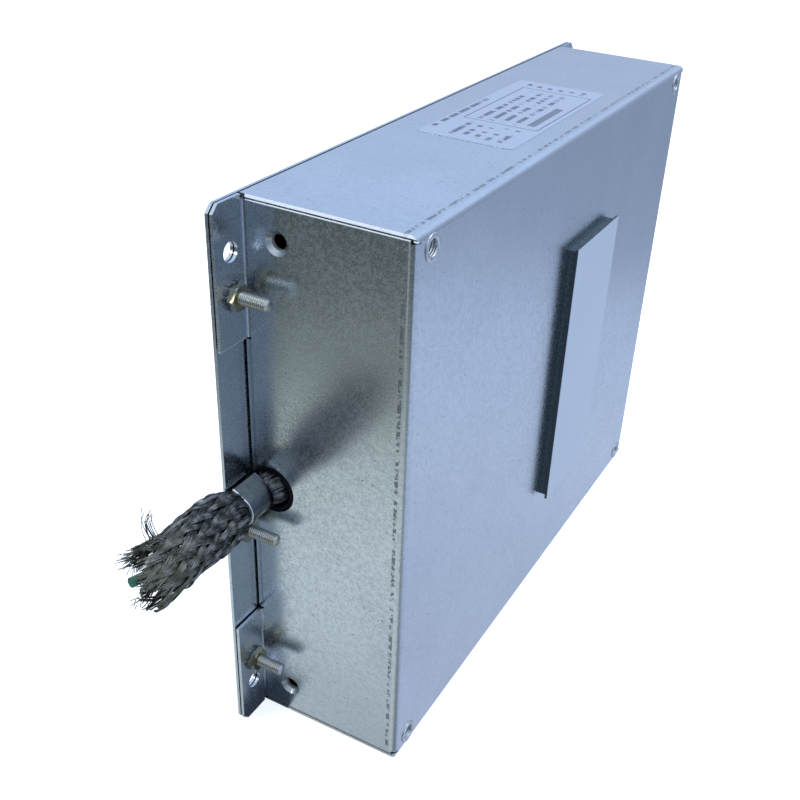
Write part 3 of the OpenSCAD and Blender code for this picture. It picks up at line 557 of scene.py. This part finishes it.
def turned(rows, sides, places, closed=False):  # rows of (x, radius, thread depth, pitch) turned about X
    points, faces = [], []
    for y, z in places:
        start = len(points)
        for x, radius, depth, pitch in rows:
            for k in range(sides):
                angle = 2 * math.pi * k / sides
                ramp = abs(2 * ((x / pitch - k / sides) % 1.0) - 1)
                cut = depth * ramp if depth > 0 else depth * (1 - ramp)  # below 0 it is a thread in a bore
                points.append((x, y + (radius - cut) * math.cos(angle), z + (radius - cut) * math.sin(angle)))
        count = len(rows)
        for i in range(count if closed else count - 1):
            for k in range(sides):
                a, b = start + i * sides + k, start + i * sides + (k + 1) % sides
                c, d = start + (i + 1) % count * sides + (k + 1) % sides, start + (i + 1) % count * sides + k
                faces.append((a, b, c, d))
        if not closed:
            faces.append([start + k for k in range(sides - 1, -1, -1)])
            faces.append([start + (count - 1) * sides + k for k in range(sides)])
    return points, faces


studLook = {"sides": 40, "radius": 2.0, "neck": 1.85, "collar": 3.2, "head": 3.4, "headHeight": 0.5,
            "headEdge": 0.05, "pitch": 0.7, "depth": 0.36, "rowsPerTurn": 8, "runOut": 0.4, "fadeRows": 5,
            "fadeIn": 0.12, "tip": 0.5, "tipRows": 4, "tipFall": 0.16}
barely = 1e-6  # keeps the thread's phase where its depth has faded to nothing


def threadedStud(top, plate, seat, neckTop, look):
    head, neck, collar = look["head"], look["neck"], look["collar"]
    rows = [(0, head - look["headEdge"], 0, 1), (look["headEdge"], head, 0, 1),
            (look["headHeight"], head, 0, 1), (look["headHeight"], neck, 0, 1), (plate, neck, 0, 1),
            (plate, collar, 0, 1), (seat, collar, 0, 1), (seat, neck, 0, 1),
            (neckTop - look["runOut"], neck, 0, 1)]
    length = top - look["tip"] - neckTop
    steps = int(length / look["pitch"] * look["rowsPerTurn"])
    for i in range(steps + 1):
        fade = min(1, i / look["fadeRows"])
        rows.append((neckTop + length * i / steps, look["radius"] - look["fadeIn"] * (1 - fade),
                     look["depth"] * fade + barely, look["pitch"]))
    for k in range(1, look["tipRows"] + 1):
        left = 1 - k / look["tipRows"]
        rows.append((top - look["tip"] * left, look["radius"] - 0.1 - look["tipFall"] * k,
                     look["fadeIn"] * left + barely, look["pitch"]))
    return rows


def grooveDepths(points, places, look):  # 1 at the bottom of a thread
    share = len(points) // len(places)
    tip = max(p[0] for p in points) - look["tip"] - 0.1
    depths = []
    for i, (x, y, z) in enumerate(points):
        axisY, axisZ = places[i // share]
        depth = (look["radius"] - math.hypot(y - axisY, z - axisZ)) / look["depth"]
        depths.append(min(1.0, max(0.0, depth)) if x < tip else 0.0)
    return depths


def addStuds(look):
    head = look["head"]
    plate, seat = high("base_plate").x, low("earth_washers").x
    metal = chromate("studZinc", studChromate)
    near, far = low("corner_studs"), high("corner_studs")
    tip = far.x
    corners = [(y, z) for y in (near.y + head, far.y - head) for z in (near.z + head, far.z - head)]
    points, faces = turned(threadedStud(tip, plate, seat, high("corner_nuts").x, look),
                           look["sides"], corners)
    addPiece("cornerStuds", points, faces, metal, ["corner_studs"],
             grooves=grooveDepths(points, corners, look))
    near, far = low("earth_studs"), high("earth_studs")
    earths = [(near.y + head, far.z - head), (far.y - head, near.z + head)]
    points, faces = turned(threadedStud(tip, plate, seat, high("earth_nuts").x, look),
                           look["sides"], earths)
    addPiece("earthStuds", points, faces, metal, ["earth_studs"],
             grooves=grooveDepths(points, earths, look))


insertLook = {"sides": 48, "pitch": 0.8, "depth": 0.34, "rowsPerTurn": 7, "fadeRows": 4, "thread": 2.1,
              "body": 3.4, "head": 3.95, "dish": 0.5,
              "bulge": [(3.2, 0), (2.6, 0.4), (1.6, 0.4), (1.05, 0)],  # behind the panel, and how far out
              "rim": [(0, 0), (0.12, 0), (0.26, 0.07)]}  # before the panel, and how far in


def addInserts(look):
    top, bottom, panel = high("press_nuts").x, low("press_nuts").x, high("cover").x
    thread, body, head = look["thread"], look["body"], look["head"]
    rows = [(bottom, thread + 0.1, 0, 1), (bottom, body, 0, 1)]
    rows += [(panel - depth, body + out, 0, 1) for depth, out in look["bulge"]] + [(panel, body, 0, 1)]
    rows += [(panel + height, head - back, 0, 1) for height, back in look["rim"]]
    rows += [(top, head - 0.22, 0, 1), (top, thread + 0.62, 0, 1), (top - 0.04, thread + 0.5, 0, 1)]
    start = top - look["dish"]
    steps = int((start - bottom) / look["pitch"] * look["rowsPerTurn"])
    for i in range(steps):
        fade = min(1, (i + 1) / look["fadeRows"])
        rows.append((start - (start - bottom) * i / steps, thread, -look["depth"] * fade, look["pitch"]))
    y, z = high("press_nuts").y - head, high("press_nuts").z - head
    points, faces = turned(rows, look["sides"], [(sy * y, sz * z) for sy in (-1, 1) for sz in (-1, 1)],
                           closed=True)
    addPiece("rivetNuts", points, faces, brightZinc("insertZinc", brightZincLook),
             ["press_nuts"])


bandLook = {"bevel": 0.26, "steps": 3, "flat": 1, "sharp": 50, "cutEdge": 0.34,
            # the edge colour is a painted highlight along the band's cut ends
            "bright": (0.175, 0.197, 0.205), "dull": (0.135, 0.152, 0.16), "edge": (0.95, 0.98, 1.0),
            "rough": 0.13}


def bandZinc(name, look):  # painted highlight along the cut edges at both ends of the band
    f = Finish(name, {"Metallic": 1.0})
    _, y, _ = f.place()
    edges = 1 - f.band(y, low("shield_clip").y + look["cutEdge"],
                       high("shield_clip").y - look["cutEdge"], 0.08)
    tone = f.grain(1.6, 3)
    faces = f.blend(look["bright"], look["dull"], f.rise(tone, 0.35, 0.7))
    f.feed("Base Color", f.blend(faces, look["edge"], edges))
    f.feed("Roughness", look["rough"] + 0.15 * tone + 0.15 * edges)
    f.bump(f.grain(0.4, 2, stretch=(1, 0.1, 1)), 0.008)
    return f


def addClip(look):  # the bent strip with its edges rolled over
    shape = bmesh.new()
    shape.from_mesh(nodes["shield_clip"].data)
    bmesh.ops.remove_doubles(shape, verts=shape.verts, dist=1e-7)
    bmesh.ops.dissolve_limit(shape, angle_limit=math.radians(look["flat"]), verts=shape.verts,
                             edges=shape.edges)
    sharp = [edge for edge in shape.edges
             if edge.is_manifold and edge.calc_face_angle() > math.radians(look["sharp"])]
    bmesh.ops.bevel(shape, geom=sharp, offset=look["bevel"] * mm, segments=look["steps"], profile=0.5,
                    affect="EDGES", clamp_overlap=True)
    bmesh.ops.triangulate(shape, faces=[face for face in shape.faces if len(face.verts) > 4])
    mesh = bpy.data.meshes.new("clipBand")
    shape.to_mesh(mesh)
    shape.free()
    mesh.shade_smooth()
    mesh.materials.append(bandZinc("bandZinc", look).material)
    band = bpy.data.objects.new("clipBand", mesh)
    band.matrix_world = nodes["shield_clip"].matrix_world
    bpy.context.collection.objects.link(band)
    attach(band, "root")
    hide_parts("shield_clip")


addStuds(studLook)
addInserts(insertLook)
addClip(bandLook)
print("studs, inserts and clip made")


# the cable end; distances d run from the end wall along the cable
cableForm = {"squeeze": 0.85, "tuck": 0.25,  # inside the clip
             "behind": {"gap": 0.3, "over": 7, "out": 1.7, "grow": 2.2},
             "beyond": {"gap": 0.3, "over": 11, "out": 1.8, "up": 2.4, "grow": 0.45},
             "swell": {"gap": 0.6, "over": 8.5, "up": 1.2, "grow": 2.6}}
tornEnd = {  # angle round the sleeve, where it ends
    "ends": [(0, 55), (25, 58), (50, 59.5), (80, 58), (96, 54), (108, 46), (124, 50), (150, 52), (180, 51),
             (205, 47), (225, 48), (245, 53), (280, 54.5), (320, 55), (345, 54), (360, 55)],
    "mouth": {"angle": 108, "from": 42.0, "over": 12, "open": 20.0, "wide": 55, "nearShare": 0.45},
    "droop": {"angle": 40, "from": 50, "over": 10, "depth": 2.2, "wide": 45},
    "waves": [(0.35, 2.1, 0.30), (0.2, 3, -0.5)]}  # height, waves round, waves along

clipRadius = -low("shield_clip").z
clipNear, clipFar = wallY - high("shield_clip").y, wallY - low("shield_clip").y
bundleRadius = clipRadius - cableForm["squeeze"]
cableX = low("shield_clip").x + clipRadius


braidLook = {"bright": (0.33, 0.34, 0.335), "dull": (0.082, 0.086, 0.083), "aged": (0.22, 0.215, 0.15),
             "rough": 0.25, "agedFrom": 30.0, "agedTo": 60.0, "agedSpread": 8}


def tinnedWire(name, look):
    f = Finish(name, {"Metallic": 1.0})
    _, y, _ = f.place()
    colour = f.blend(look["bright"], look["dull"], f.rise(f.grain(2.5, 3), 0.34, 0.62))
    aged = f.rise(wallY - y + look["agedSpread"] * (f.grain(6, 2) - 0.5), look["agedFrom"], look["agedTo"])
    f.feed("Base Color", f.blend(colour, look["aged"], 0.6 * aged))
    f.feed("Roughness", look["rough"] + 0.25 * f.grain(0.8, 2) + 0.08 * aged)
    f.bump(f.grain(0.15, 1), 0.01)
    return f


def unit(vector):
    return vector / np.linalg.norm(vector)


def ease(t):
    u = min(max(t, 0.0), 1.0)
    return u * u * (3 - 2 * u)


def behindClip(d):
    return ease((clipNear - cableForm["behind"]["gap"] - d) / cableForm["behind"]["over"])


def pastClip(d, key):
    return ease((d - clipFar - cableForm[key]["gap"]) / cableForm[key]["over"])


def cableCentre(d):
    behind, beyond, swell = (cableForm[key] for key in ("behind", "beyond", "swell"))
    out = behind["out"] * behindClip(d) + beyond["out"] * pastClip(d, "beyond")
    up = swell["up"] * pastClip(d, "swell") + beyond["up"] * pastClip(d, "beyond")
    return np.array([cableX + out, wallY - d, up])


def cableRadius(d):
    grown = sum(cableForm[key]["grow"] * pastClip(d, key) for key in ("swell", "beyond"))
    return bundleRadius - cableForm["tuck"] + cableForm["behind"]["grow"] * behindClip(d) + grown


def surfacePoint(d, angle, lift):
    mouth, droop = tornEnd["mouth"], tornEnd["droop"]
    turn = math.degrees(angle) % 360
    away = (turn - mouth["angle"] + 180) % 360 - 180
    opened = (mouth["open"] * ease((d - mouth["from"]) / mouth["over"])
              * math.exp(-(away / mouth["wide"]) ** 2))
    angle += math.radians(opened) * (1 if away > 0 else -mouth["nearShare"])
    ahead = unit(cableCentre(d + 0.2) - cableCentre(d - 0.2))
    side = unit(np.array([1.0, 0, 0]) - ahead[0] * ahead)
    out = side * math.cos(angle) + np.cross(ahead, side) * math.sin(angle)
    wave = sum(size * math.sin(around * angle + along * d) for size, around, along in tornEnd["waves"])
    sag = (droop["depth"] * ease((d - droop["from"]) / droop["over"])
           * math.exp(-((turn - droop["angle"]) / droop["wide"]) ** 2))
    return cableCentre(d) + out * (cableRadius(d) + lift + wave * pastClip(d, "beyond") - sag), out


def sleeveEnd(angle):
    turn = math.degrees(angle) % 360
    ends = tornEnd["ends"]
    for (a, da), (b, db) in zip(ends, ends[1:]):
        if a <= turn <= b:
            return da + (db - da) * (turn - a) / (b - a)
    return ends[0][1]


def tubes(paths, outs, radius, sides):  # round wires along many paths
    points, faces = [], []
    angles = 2 * np.pi * np.arange(sides) / sides
    for path, out in zip(paths, outs):
        path, out = np.asarray(path), np.asarray(out)
        along = np.gradient(path, axis=0)
        along /= np.linalg.norm(along, axis=1)[:, None] + 1e-12
        first = out - (out * along).sum(1)[:, None] * along
        first /= np.linalg.norm(first, axis=1)[:, None] + 1e-12
        second = np.cross(along, first)
        start, count = len(points), len(path)
        ring = path[:, None, :] + radius * (np.cos(angles)[None, :, None] * first[:, None, :]
                                            + np.sin(angles)[None, :, None] * second[:, None, :])
        points.extend(ring.reshape(-1, 3).tolist())
        for i in range(count - 1):
            for k in range(sides):
                a, b = start + i * sides + k, start + i * sides + (k + 1) % sides
                faces.append((a, b, b + sides, a + sides))
        faces.append([start + k for k in range(sides - 1, -1, -1)])
        faces.append([start + (count - 1) * sides + k for k in range(sides)])
    return points, faces


braidSpec = {"plaits": 20, "wires": 6, "plaitWidth": 1.66, "wireRadius": 0.16, "sides": 5, "lift": 0.52,
             "crown": 0.34, "crossing": 3.5, "step": 0.85, "start": 3.0, "stop": 64, "holdsTo": 14,
             "fullRadius": 7.35, "seed": 11, "plaitCurl": 0.10, "wireCurl": 0.03, "stride": 0.7,
             "sway": (0.05, 0.3), "shiver": (0.012, 0.45), "loose": [(0.07, 0.55), (0.04, 1.3)],
             # where on the sleeve, how stray wires lean out and along, how many steps at least
             "leans": [(235, 350, -0.10, 0.03, 2), (95, 235, 0.04, 0.0, 1), (-1, 361, -0.06, 0.0, 1)]}


def anyCurl(rng, bend):
    return np.array([rng.uniform(-1, 1), rng.uniform(-0.6, 0.6), rng.uniform(-1, 1)]) * bend


def stray(path, out, steps, bend, stride):  # carries a wire on past the weave
    tip, ahead = path[-1], unit(path[-1] - path[-2])
    for _ in range(steps):
        ahead = unit(ahead + bend)
        tip = tip + stride * ahead
        path.append(tip)
        out.append(out[-1])


def braidWire(rng, spec, plait, sense, offset, wander):  # one wire of a plait, as far as the weave holds
    swayWide, swayFast = spec["sway"]
    shiverWide, shiverFast = spec["shiver"]
    jitter = [rng.uniform(0, 6.28) for _ in range(4)]
    slack = rng.uniform(-1.2, 0.8)
    path, out, d, phase = [], [], spec["start"], 0.0
    while d < spec["stop"]:
        radius, free = cableRadius(d), pastClip(d, "beyond")
        slope = math.atan2(radius * math.pi / spec["plaits"], spec["crossing"])
        shift = offset * min(1, 0.25 + 0.75 * radius / spec["fullRadius"])
        angle = 2 * math.pi * plait / spec["plaits"] + sense * math.pi * phase / spec["plaits"]
        angle += sense * -shift * math.cos(slope) / radius
        angle += free * (swayWide * wander[0] * math.sin(swayFast * d + wander[1] * 3)
                         + shiverWide * math.sin(shiverFast * d + jitter[3]))
        weave = sense * spec["lift"] * math.cos(math.pi / 2 * (2 * plait + sense * phase - 0.5))
        crown = spec["crown"] * math.cos(math.pi * offset / spec["plaitWidth"])
        loose = free * sum(wide * math.sin(fast * d + turn)
                           for (wide, fast), turn in zip(spec["loose"], jitter))
        if d > spec["holdsTo"] and d > sleeveEnd(angle) + slack:
            break
        spot, way = surfacePoint(d + shift * math.sin(slope), angle, weave + crown + loose)
        path.append(spot)
        out.append(way)
        d += spec["step"]
        phase += spec["step"] / spec["crossing"]
    return path, out, math.degrees(angle) % 360


def addBraid(spec):
    rng = random.Random(spec["seed"])
    paths, outs = [], []
    for sense in (1, -1):
        for plait in range(spec["plaits"]):
            wander = [rng.uniform(-1, 1) for _ in range(4)]
            plaitCurl, plaitSteps = anyCurl(rng, spec["plaitCurl"]), rng.randint(0, 4)
            for wire in range(spec["wires"]):
                offset = (wire - (spec["wires"] - 1) / 2) * spec["plaitWidth"] / spec["wires"]
                path, out, turn = braidWire(rng, spec, plait, sense, offset, wander)
                outward, along, least = next(lean[2:] for lean in spec["leans"] if lean[0] < turn < lean[1])
                steps = least + plaitSteps + rng.randint(-1, 2)
                curl = plaitCurl + anyCurl(rng, spec["wireCurl"])
                stray(path, out, steps, curl + outward * out[-1] + np.array([0, along, 0]), spec["stride"])
                paths.append(path)
                outs.append(out)
    points, faces = tubes(paths, outs, spec["wireRadius"], spec["sides"])
    metal = tinnedWire("tinnedWire", braidLook)
    addPiece("braid", points, faces, metal, ["braid_sleeve"])
    print("braid wires", len(paths), "points", len(points))
    return metal


wisps = {"seed": 5, "radius": 0.11, "sides": 4, "step": 0.75, "twist": 0.012,
         "bundles": [  # where on the sleeve, how many, first way, bend, steps
             {"at": (46, 126), "count": 13, "way": (-0.51, -0.12, 0.86), "bend": (0.08, 0.0, -0.005),
              "steps": 15, "spread": 0.035},
             {"at": (50, 150), "count": 8, "way": (-0.8, -0.4, -0.1), "bend": (0.0, -0.02, -0.06),
              "steps": 7, "spread": 0.3},
             {"at": (51, 165), "count": 9, "way": (-0.3, -0.75, -0.5), "bend": (0.05, 0.0, -0.03),
              "steps": 7, "spread": 0.35},
             {"at": (45, 92), "count": 6, "way": (-0.3, -0.9, 0.2), "bend": (0.0, 0.0, -0.04),
              "steps": 8, "spread": 0.3},
             {"at": (56, 250), "count": 7, "way": (0.1, -0.9, -0.1), "bend": (0.06, 0.03, 0.06),
              "steps": 5, "spread": 0.3}]}


def addWisps(spec, metal):  # loose bundles that stand off the torn end
    rng = random.Random(spec["seed"])
    paths, outs = [], []
    for bundle in spec["bundles"]:
        for _ in range(bundle["count"]):
            d, turn = bundle["at"][0] + rng.uniform(-1.6, 1.6), bundle["at"][1] + rng.uniform(-8, 8)
            spot, out = surfacePoint(d, math.radians(turn), 0)
            ahead = unit(np.array(bundle["way"])
                         + np.array([rng.gauss(0, 1) for _ in range(3)]) * bundle["spread"])
            path = [spot]
            twist = np.array([rng.gauss(0, spec["twist"]) for _ in range(3)])
            for _ in range(int(bundle["steps"] * rng.uniform(0.6, 1.1))):
                ahead = unit(ahead + np.array(bundle["bend"]) + twist)
                path.append(path[-1] + spec["step"] * ahead)
            paths.append(path)
            outs.append([out] * len(path))
    points, faces = tubes(paths, outs, spec["radius"], spec["sides"])
    addPiece("braidWisps", points, faces, metal)


fanSpec = {"wires": 130, "radius": 0.14, "sides": 4, "steps": 10, "start": 0.6, "sink": 0.15, "reach": 7.0,
           "spread": 1.9, "seed": 3}


def addFan(spec, metal):  # wires spreading from the clip's back edge into the opening
    rng = random.Random(spec["seed"])
    paths, outs = [], []
    for k in range(spec["wires"]):
        turn = 2 * math.pi * (k + rng.uniform(-0.4, 0.4)) / spec["wires"]
        grow, twist = spec["spread"] * rng.uniform(0.5, 1.15), rng.uniform(-0.25, 0.25)
        path, out = [], []
        for step in range(spec["steps"] + 1):
            t = step / spec["steps"]
            way = np.array([math.cos(turn + twist * t), 0, math.sin(turn + twist * t)])
            middle = cableCentre(clipNear + spec["start"] - spec["reach"] * t)
            path.append(middle + way * (bundleRadius - spec["sink"] + grow * t))
            out.append(way)
        paths.append(path)
        outs.append(out)
    points, faces = tubes(paths, outs, spec["radius"], spec["sides"])
    addPiece("braidFan", points, faces, metal)


wireMetal = addBraid(braidSpec)
addFan(fanSpec, wireMetal)
addWisps(wisps, wireMetal)
print("cable end made")
